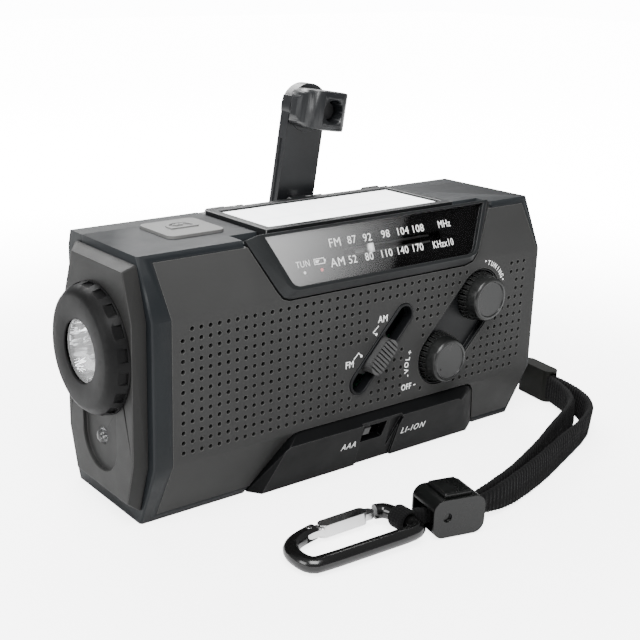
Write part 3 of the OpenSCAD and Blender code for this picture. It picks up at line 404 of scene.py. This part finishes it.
# dark steel on the pin in the knob's hole so the hole reads black: painted shade
slot_names["knob_pin"] = "steel_dark"
for name, piece in frame["nodes"].items():
    piece.data.materials.clear()
    piece.data.materials.append(MATERIALS[slot_names.get(name, "shell_plastic")])
    if name == "rear_housing":
        # many openings in one flat face: left as triangles, shaded flat
        weld(piece)
    elif name == "front_housing":
        finish_front_housing(piece)
    else:
        finish_piece(piece, name)
    shade(piece.data, name != "rear_housing")


# ------------------------------------------------------------------ helpers for added pieces
def new_object(name, verts, faces, material, uvs=None, smooth=True):
    """Mesh object from points in metres; uvs holds one pair per vertex."""
    mesh = bpy.data.meshes.new(name)
    mesh.from_pydata([tuple(v) for v in verts], [], faces)
    mesh.update()
    if uvs:
        layer = mesh.uv_layers.new(name="UVMap")
        for loop in mesh.loops:
            layer.data[loop.index].uv = uvs[loop.vertex_index]
    piece = bpy.data.objects.new(name, mesh)
    bpy.context.scene.collection.objects.link(piece)
    mesh.materials.append(MATERIALS[material])
    if smooth:
        shade(mesh, True)
    return piece


def edit_mesh(mesh, change):
    bm = bmesh.new()
    bm.from_mesh(mesh)
    change(bm)
    bm.to_mesh(mesh)
    bm.free()


def unit(start, end):
    length = math.hypot(end[0] - start[0], end[1] - start[1])
    return (end[0] - start[0]) / length, (end[1] - start[1]) / length


def facet(origin, up):
    """Frame of a front facet from y, z pairs: columns are x, up the facet, outward."""
    matrix = Matrix.Identity(4)
    matrix.col[1] = (0, up[0], up[1], 0)
    matrix.col[2] = (0, -up[1], up[0], 0)
    matrix.col[3] = (0, origin[0] * MM, origin[1] * MM, 1)
    return matrix


UPPER_UP = unit(UPPER_EDGE, TOP_EDGE)
UPPER_FACET = facet(UPPER_EDGE, UPPER_UP)
MIDDLE_FACET = facet((UPPER_EDGE[0], 0), (0, 1))   # starts at z = 0, so its height is z
LOWER_FACET = facet(BASE_EDGE, unit(BASE_EDGE, LOWER_EDGE))


def up_from_z(z, outward=0.75):
    """Distance up the upper facet that gives world height z at that distance outward."""
    return (z - UPPER_EDGE[1] - UPPER_UP[0] * outward) / UPPER_UP[1]


def label(words, size, frame, x, y, outward, turn=0.0, stretch=1.0, bold=0.0, spacing=1.08):
    curve = bpy.data.curves.new("label", "FONT")
    curve.body = words
    curve.size = size * MM
    curve.align_x = "CENTER"
    curve.align_y = "CENTER"
    curve.extrude = 0.03 * MM
    curve.offset = bold * MM
    curve.space_character = spacing
    curve.resolution_u = 3
    piece = bpy.data.objects.new("label", curve)
    bpy.context.scene.collection.objects.link(piece)
    place = Matrix.Translation((x * MM, y * MM, outward * MM))
    piece.matrix_world = (frame @ place @ Matrix.Rotation(turn, 4, "Z")
                          @ Matrix.Diagonal((stretch, 1, 1, 1)))
    return piece


def print_labels(name, labels):
    """Turn text objects into one white mesh on the radio."""
    bpy.context.view_layer.update()
    parts = []
    depsgraph = bpy.context.evaluated_depsgraph_get()
    for text in labels:
        mesh = bpy.data.meshes.new_from_object(text.evaluated_get(depsgraph))
        mesh.transform(text.matrix_world)
        part = bpy.data.objects.new("part", mesh)
        bpy.context.scene.collection.objects.link(part)
        parts.append(part)
        bpy.data.objects.remove(text)
    bpy.ops.object.select_all(action="DESELECT")
    for part in parts:
        part.select_set(True)
    bpy.context.view_layer.objects.active = parts[0]
    bpy.ops.object.join()
    printed = bpy.context.view_layer.objects.active
    printed.name = printed.data.name = name
    printed.data.materials.clear()
    printed.data.materials.append(MATERIALS["figure_white"])
    edit_mesh(printed.data,
              lambda bm: bmesh.ops.remove_doubles(bm, verts=bm.verts, dist=1e-7))
    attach(printed, RADIO)


def print_shapes(name, frame, outlines, bottom, top, material):
    """Closed prisms over outlines in a facet frame, between two outward distances."""
    verts, faces = [], []
    for outline in outlines:
        first, k = len(verts), len(outline)
        verts += [frame @ Vector((x * MM, y * MM, level * MM))
                  for level in (bottom, top) for x, y in outline]
        prism = [tuple(range(k - 1, -1, -1)), tuple(range(k, 2 * k))]
        prism += [(i, (i + 1) % k, k + (i + 1) % k, k + i) for i in range(k)]
        faces += [tuple(first + i for i in face) for face in prism]
    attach(new_object(name, verts, faces, material, smooth=False), RADIO)


def polar(centre, radius, angle):
    return centre[0] + radius * math.cos(angle), centre[1] + radius * math.sin(angle)


def disc(x, y, radius, sides=20):
    return [polar((x, y), radius, 2 * math.pi * i / sides) for i in range(sides)]


def rectangle(left, low, right, high):
    return [(left, low), (right, low), (right, high), (left, high)]


def line(start, end, width):
    a, b = Vector(start), Vector(end)
    along = (b - a).normalized()
    side = Vector((-along.y, along.x)) * width / 2
    return [tuple(a - side), tuple(b - side), tuple(b + side), tuple(a + side)]


# ------------------------------------------------------------------ dial on the upper facet
# text, size, x, world z, width factor
DIAL_FIGURES = [
    ("87", 3.15, -3.2, 69.6, 1.0), ("92", 3.15, 2.5, 69.5, 1.0), ("98", 3.15, 9.4, 69.6, 1.0),
    ("104", 3.15, 15.9, 69.6, 1.0), ("108", 3.15, 21.9, 69.6, 1.0),
    ("52", 3.15, -4.5, 64.6, 0.95), ("80", 3.15, 1.6, 64.6, 0.95),
    ("110", 3.15, 8.0, 64.6, 0.95), ("140", 3.15, 14.2, 64.6, 0.95),
    ("170", 3.15, 20.1, 64.6, 0.95),
    ("FM", 3.5, -9.3, 69.6, 1.0), ("AM", 3.5, -9.8, 64.6, 1.0),
    ("MHz", 3.1, 32.6, 69.7, 0.82), ("KHzx10", 3.1, 30.4, 64.5, 0.78),
    ("TUN", 2.5, -21.7, 65.6, 0.9)]
print_labels("dial_figures", [
    label(words, size, UPPER_FACET, x, up_from_z(z), 0.785, stretch=stretch)
    for words, size, x, z, stretch in DIAL_FIGURES])

# black film under the window, left clear where the pointer runs
WINDOW_LOW, WINDOW_HIGH = 3.7, 16.6
CLEAR_LEFT, CLEAR_RIGHT, CLEAR_LOW, CLEAR_HIGH = -6.4, 30.2, 7.95, 11.0


def window_side(side, height):
    """Point on the sloping left or right side of the window at a height up the facet."""
    low_x, spread = {"left": (-27.1, -5.3), "right": (41.6, 7.6)}[side]
    return low_x + spread * (height - WINDOW_LOW) / (WINDOW_HIGH - WINDOW_LOW), height


print_shapes("dial_film", UPPER_FACET, [
    [window_side("left", CLEAR_HIGH), window_side("right", CLEAR_HIGH),
     (49.1, WINDOW_HIGH), (-32.3, WINDOW_HIGH)],
    [(-25.2, 2.4), (39.2, 2.4), (41.5, WINDOW_LOW), window_side("right", CLEAR_LOW),
     window_side("left", CLEAR_LOW), (-27.0, WINDOW_LOW)],
    [window_side("left", CLEAR_HIGH), window_side("left", CLEAR_LOW),
     (CLEAR_LEFT, CLEAR_LOW), (CLEAR_LEFT, CLEAR_HIGH)],
    [(CLEAR_RIGHT, CLEAR_LOW), window_side("right", CLEAR_LOW),
     window_side("right", CLEAR_HIGH), (CLEAR_RIGHT, CLEAR_HIGH)],
], 0.712, 0.735, "dial_black")

# small outlined box with a stub at its right and a slanted fill, then two round marks below
BOX_LEFT, BOX_RIGHT, BOX_HALF, BOX_LINE = -17.9, -14.2, 0.85, 0.23
BOX_INNER = BOX_HALF - BOX_LINE
box_y, dot_y = up_from_z(65.7), up_from_z(63.5)
print_shapes("dial_marks", UPPER_FACET, [
    rectangle(BOX_LEFT, box_y - BOX_HALF, BOX_RIGHT, box_y - BOX_INNER),
    rectangle(BOX_LEFT, box_y + BOX_INNER, BOX_RIGHT, box_y + BOX_HALF),
    rectangle(BOX_LEFT, box_y - BOX_INNER, BOX_LEFT + BOX_LINE, box_y + BOX_INNER),
    rectangle(BOX_RIGHT - BOX_LINE, box_y - BOX_INNER, BOX_RIGHT, box_y + BOX_INNER),
    rectangle(BOX_RIGHT, box_y - 0.35, -13.8, box_y + 0.35),
    [(-17.4, box_y - 0.4), (-16.6, box_y - 0.4), (-15.9, box_y + 0.4), (-17.4, box_y + 0.4)],
    disc(-21.7, dot_y, 0.42),
], 0.755, 0.81, "figure_white")
print_shapes("charge_mark", UPPER_FACET, [disc(-15.8, dot_y, 0.48)], 0.755, 0.81, "led_red")

# two bands above and below the pointer's path, on the scale plate
print_shapes("dial_scale_band", UPPER_FACET,
             [rectangle(-4.4, low, 28.3, high) for low, high in ((10.05, 10.65), (8.15, 8.75))],
             -2.08, -2.04, "figure_grey")

# ------------------------------------------------------------------ labels on the middle facet
VOLUME_CENTRE, TUNING_CENTRE = (29.6, 29.9), (45.3, 46.5)
VOLUME_LETTERS = [  # letter, x, z
    ("-", 16.8, 26.4), ("V", 16.4, 28.1), ("O", 16.3, 30.0), ("L", 16.7, 31.8), ("+", 17.4, 33.7)]


def panel_label(words, size, x, z, **options):
    return label(words, size, MIDDLE_FACET, x, z, 0.03, **options)


labels = [panel_label(words, 2.9, x, z, bold=0.03, stretch=0.85)
          for words, x, z in (("FM", -5.95, 34.4), ("AM", 6.0, 46.0))]
for letter, x, z in VOLUME_LETTERS:
    angle = math.atan2(z - VOLUME_CENTRE[1], x - VOLUME_CENTRE[0])
    labels.append(panel_label(letter, 2.3, x, z, turn=angle - math.pi / 2, bold=0.02))
labels.append(panel_label("OFF", 2.6, 16.6, 22.9, bold=0.02, stretch=0.85))
for i, letter in enumerate("TUNING"):
    angle = math.radians(72.0 - i * 8.6)
    labels.append(panel_label(letter, 2.05, *polar(TUNING_CENTRE, 10.5, angle),
                              turn=angle - math.pi / 2, bold=0.03, stretch=0.85))
print_labels("panel_labels", labels)

print_shapes("panel_marks", MIDDLE_FACET, [
    # two bent lines ending in dots, by FM and by AM
    line((-4.5, 35.8), (-2.6, 37.5), 0.25), line((-2.75, 37.45), (-1.9, 36.5), 0.25),
    disc(-1.7, 36.3, 0.42),
    line((4.4, 44.2), (2.4, 42.55), 0.25), line((2.35, 42.6), (3.4, 41.95), 0.25),
    disc(3.7, 41.8, 0.42),
    # dots at the ends of TUNING
    disc(*polar(TUNING_CENTRE, 10.9, math.radians(80.8)), 0.28),
    disc(*polar(TUNING_CENTRE, 10.7, math.radians(21)), 0.28),
    # dash after OFF
    line((19.5, 23.0), (20.3, 23.0), 0.3),
], 0.0, 0.06, "figure_white")

# ------------------------------------------------------------------ labels on the lower facet
print_labels("lower_labels", [
    label("AAA", 3.5, LOWER_FACET, -4.9, 11.4, 3.54, stretch=0.72, spacing=1.2),
    label("LI-ION", 3.5, LOWER_FACET, 20.6, 11.1, 3.54, stretch=0.76, spacing=1.3)])

# ------------------------------------------------------------------ strap webbing
PATH_STEP = 0.25
RIB_PITCH, RIB_DEPTH = 1.5, 0.34   # cross ribs along the webbing
# half of the webbing section round its edge, and the loop's section
RIBBON_PROFILE = [  # height share, thickness share
    (-1, 0.0), (-1, 0.55), (-0.95, 0.82), (-0.55, 1.0), (0, 1.0), (0.55, 1.0), (0.95, 0.82),
    (1, 0.55), (1, 0.0), (1, -0.55), (0.95, -0.82), (0.55, -1.0), (0, -1.0), (-0.55, -1.0),
    (-0.95, -0.82), (-1, -0.55)]
LOOP_PROFILE = [  # width share, share of the way from inner to outer radius
    (-1, 0.2), (-1, 0.8), (-0.8, 1), (0.8, 1), (1, 0.8), (1, 0.2), (0.8, 0), (-0.8, 0)]

# Stations: x, y, z of the middle, half height, lean in degrees.
FULL = 4.5
OUTER_STRAND = [
    (90.6, -14.0, 5.8, 4.2, 0), (89.6, -18.5, 5.5, FULL, 2), (88.2, -26.0, 5.3, FULL, 5),
    (85.4, -33.0, 5.3, FULL, 8), (81.6, -38.6, 5.3, FULL, 8), (76.6, -43.0, 5.3, FULL, 6),
    (70.0, -46.4, 5.2, FULL, 4), (62.0, -49.4, 5.2, FULL, 2), (52.0, -52.8, 5.2, FULL, -2),
    (40.0, -57.0, 5.2, FULL, -4), (28.0, -60.6, 5.2, 4.4, -4), (17.0, -63.2, 5.2, 4.1, -2),
    (8.0, -63.9, 5.1, 3.0, 0), (2.0, -62.9, 4.8, 2.15, 0), (-3.0, -61.9, 4.7, 2.0, 0)]
INNER_STRAND = [
    (89.3, -14.0, 5.8, 4.2, 0), (88.2, -18.5, 5.5, FULL, 0), (85.8, -25.0, 5.3, FULL, -2),
    (82.6, -30.6, 5.3, FULL, -3), (78.2, -35.2, 5.3, FULL, -4), (71.6, -38.9, 5.3, FULL, -4),
    (64.0, -42.0, 5.2, FULL, -3), (54.0, -46.2, 5.2, FULL, 0), (45.0, -50.2, 5.2, FULL, 2),
    (35.0, -54.2, 5.2, FULL, 3), (24.0, -58.2, 5.2, 4.3, 3), (15.0, -60.6, 5.2, 4.0, 2),
    (7.0, -61.6, 5.1, 2.9, 0), (2.0, -61.2, 4.8, 2.15, 0), (-3.0, -60.4, 4.7, 2.0, 0)]
LEAD = [
    (78.9, 3.9, 15.4, 4.4, 0), (81.2, 2.9, 14.0, 4.4, 2), (84.5, 2.0, 11.2, 4.4, 4),
    (88.4, 1.4, 8.4, 4.4, 4), (91.2, -1.0, 6.6, 4.4, 2), (92.0, -4.6, 6.0, 4.4, 0),
    (91.4, -9.0, 5.8, 4.2, 0), (90.6, -13.0, 5.8, 4.0, 0)]
TAIL = [
    (-3.4, -61.3, 4.7, 2.1, 0), (-8.0, -60.3, 4.6, 2.1, 0), (-11.0, -59.0, 4.5, 2.1, 0),
    (-12.6, -57.6, 4.3, 2.1, 0)]


def smooth_path(stations):
    """Catmull-Rom through the stations, resampled about every PATH_STEP."""
    last = len(stations) - 1
    path = []
    for i in range(last):
        span = (stations[max(0, i - 1)], stations[i], stations[i + 1], stations[min(last, i + 2)])
        length = (Vector(span[2][:3]) - Vector(span[1][:3])).length
        steps = max(2, int(length / PATH_STEP))
        for k in range(steps):
            t = k / steps
            path.append([
                0.5 * ((2 * b) + (-a + c) * t + (2 * a - 5 * b + 4 * c - d) * t * t
                       + (-a + 3 * b - 3 * c + d) * t ** 3)
                for a, b, c, d in zip(*span)])
    path.append(list(stations[-1]))
    return path


def ring_faces(rings, k, closed):
    """Quads between successive rings of k vertices."""
    return [(i * k + j, i * k + (j + 1) % k,
             (i + 1) % rings * k + (j + 1) % k, (i + 1) % rings * k + j)
            for i in range(rings if closed else rings - 1) for j in range(k)]


def webbing(name, verts, faces, uvs):
    piece = new_object(name, verts, faces, "strap_fabric", uvs)
    edit_mesh(piece.data, lambda bm: bmesh.ops.recalc_face_normals(bm, faces=bm.faces))
    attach(piece, STRAP)
    return piece


def ribbon(name, stations, half_thickness):
    """Ribbed webbing standing on its edge."""
    path = smooth_path(stations)
    points = [Vector(p[:3]) for p in path]
    count, k = len(path), len(RIBBON_PROFILE)
    travelled = 0.0
    verts, uvs = [], []
    for i, point in enumerate(points):
        if i > 0:
            travelled += (point - points[i - 1]).length
        along = (points[min(count - 1, i + 1)] - points[max(0, i - 1)]).normalized()
        side = along.cross(Vector((0, 0, 1))).normalized()
        up = side.cross(along).normalized()
        half_height, lean = path[i][3], math.radians(path[i][4])
        thick_dir = side * math.cos(lean) + up * math.sin(lean)
        high_dir = up * math.cos(lean) - side * math.sin(lean)
        phase = 2 * math.pi * travelled / RIB_PITCH
        thick = (half_thickness * (1 + 0.06 * math.sin(travelled * 0.9))
                 - RIB_DEPTH * (0.5 - 0.5 * math.cos(phase)))
        edge = 1.0 - 0.035 * (0.5 - 0.5 * math.cos(phase + 1.2))
        for j, (height, width) in enumerate(RIBBON_PROFILE):
            # the profile's first value scales thickness, its second the height
            offset = thick_dir * (height * thick) + high_dir * (width * half_height * edge)
            verts.append((point + offset) * MM)
            uvs.append((travelled * MM, j / k))
    faces = ring_faces(count, k, closed=False)
    faces.append(tuple(range(k - 1, -1, -1)))
    faces.append(tuple((count - 1) * k + j for j in range(k)))
    return webbing(name, verts, faces, uvs)


def loop(name, centre, axis, inner, outer, half_width, segments=72):
    """Closed loop of webbing round a bar; axis is the bar's direction."""
    axis = Vector(axis)
    across = axis.orthogonal().normalized()
    over = axis.cross(across)
    verts, uvs = [], []
    for i in range(segments):
        angle = 2 * math.pi * i / segments
        outward = across * math.cos(angle) + over * math.sin(angle)
        for j, (width, share) in enumerate(LOOP_PROFILE):
            # every second ring dips on the outside
            dip = 0.07 if i % 2 and share > 0.5 else 0
            radius = inner + (outer - inner) * share - dip
            verts.append((Vector(centre) + axis * (width * half_width) + outward * radius) * MM)
            uvs.append((angle * outer * MM, j / len(LOOP_PROFILE)))
    return webbing(name, verts, ring_faces(segments, len(LOOP_PROFILE), closed=True), uvs)


outer_strand = ribbon("strap_outer_strand", OUTER_STRAND, half_thickness=1.05)
inner_strand = ribbon("strap_inner_strand", INNER_STRAND, half_thickness=1.0)
lead = ribbon("strap_lead", LEAD, half_thickness=1.15)
bar_loop = loop("strap_bar_loop", (77.4, 5.4, 15.5), axis=(0, 0, 1),
                inner=1.12, outer=2.9, half_width=4.45)
tail = ribbon("strap_tail", TAIL, half_thickness=1.3)
clip_loop = loop("strap_clip_loop", (-15.4, -56.4, 3.8), axis=(0, 1, 0),
                 inner=2.05, outer=3.2, half_width=2.6)
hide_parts("strap_webbing")


# ------------------------------------------------------------------ studio
def build_floor(half=2.6):
    """White paper that glows for the camera, brighter away from the radio."""
    tree = surface("floor_paper", (0.86, 0.86, 0.86), rough=0.8, bump=0.05, grain=900.0,
                   color_var=0.01, spec=0.1).node_tree
    position = add_node(tree, "NewGeometry").outputs["Position"]
    distance = add_node(tree, "VectorMath", {0: position}, operation="LENGTH").outputs["Value"]
    glow = map_range(tree, distance, from_min=0.10, from_max=0.42, to_min=4.0, to_max=14.0,
                     interpolation_type="SMOOTHSTEP")
    seen = add_node(tree, "LightPath").outputs["Is Camera Ray"]
    set_inputs(tree, tree.nodes["Principled BSDF"], {
        "Emission Color": (1, 1, 1, 1),
        "Emission Strength": math_node(tree, "MULTIPLY", glow, seen)})
    corners = [(x, y, 0) for x, y in rectangle(-half, -half, half, half)]
    new_object("floor", corners, [(0, 1, 2, 3)], "floor_paper", smooth=False)


def build_world():
    """Near-white surroundings: strength 0.8, raised for the camera, lowered in reflections."""
    world = bpy.data.worlds.new("studio")
    world.use_nodes = True
    tree = world.node_tree
    rays = add_node(tree, "LightPath").outputs
    seen = math_node(tree, "MULTIPLY_ADD", rays["Is Camera Ray"], 13.2, 0.8)
    strength = math_node(tree, "MULTIPLY_ADD", rays["Is Glossy Ray"], -0.45, seen)
    set_inputs(tree, tree.nodes["Background"],
               {"Color": (0.98, 0.99, 1.0, 1), "Strength": strength})
    bpy.context.scene.world = world


def area_light(name, place, target, width, height, power):
    light = bpy.data.lights.new(name, "AREA")
    light.energy = power
    light.shape = "RECTANGLE"
    light.size = width
    light.size_y = height
    lamp = bpy.data.objects.new(name, light)
    bpy.context.scene.collection.objects.link(lamp)
    lamp.location = place
    aim = Vector(target) - Vector(place)
    lamp.rotation_euler = aim.to_track_quat("-Z", "Y").to_euler()


def build_camera(place, azimuth, elevation, roll, lens, shift):
    """Camera in front of the radio, towards -x, looking down; angles in degrees."""
    azimuth, elevation, roll = map(math.radians, (azimuth, elevation, roll))
    back = Vector((math.sin(azimuth) * math.cos(elevation),
                   -math.cos(azimuth) * math.cos(elevation), math.sin(elevation)))
    forward = -back
    level = forward.cross(Vector((0, 0, 1))).normalized()
    down = forward.cross(level)
    rolled_right = level * math.cos(roll) + down * math.sin(roll)
    rolled_down = -level * math.sin(roll) + down * math.cos(roll)
    data = bpy.data.cameras.new("camera")
    data.sensor_width = 36.0
    data.lens = lens
    data.shift_x, data.shift_y = shift
    data.clip_start = 0.01
    camera = bpy.data.objects.new("camera", data)
    bpy.context.scene.collection.objects.link(camera)
    matrix = Matrix.Identity(4)
    matrix.col[0] = (*rolled_right, 0)
    matrix.col[1] = (*(-rolled_down), 0)
    matrix.col[2] = (*back, 0)
    matrix.col[3] = (*place, 1)
    camera.matrix_world = matrix
    bpy.context.scene.camera = camera


build_floor()
build_world()
area_light("key", (-0.30, -0.40, 0.80), (0, 0, 0.03), width=0.6, height=0.6, power=16)
area_light("back", (0.15, 0.60, 0.60), (0, 0, 0.05), width=0.8, height=0.4, power=12)
area_light("left", (-0.70, 0.05, 0.30), (0, 0, 0.04), width=0.35, height=0.35, power=3)
build_camera((-0.20226, -0.24645, 0.14206), azimuth=-35.387, elevation=17.558, roll=-0.528,
             lens=62.557, shift=(0.11905, -0.0035))
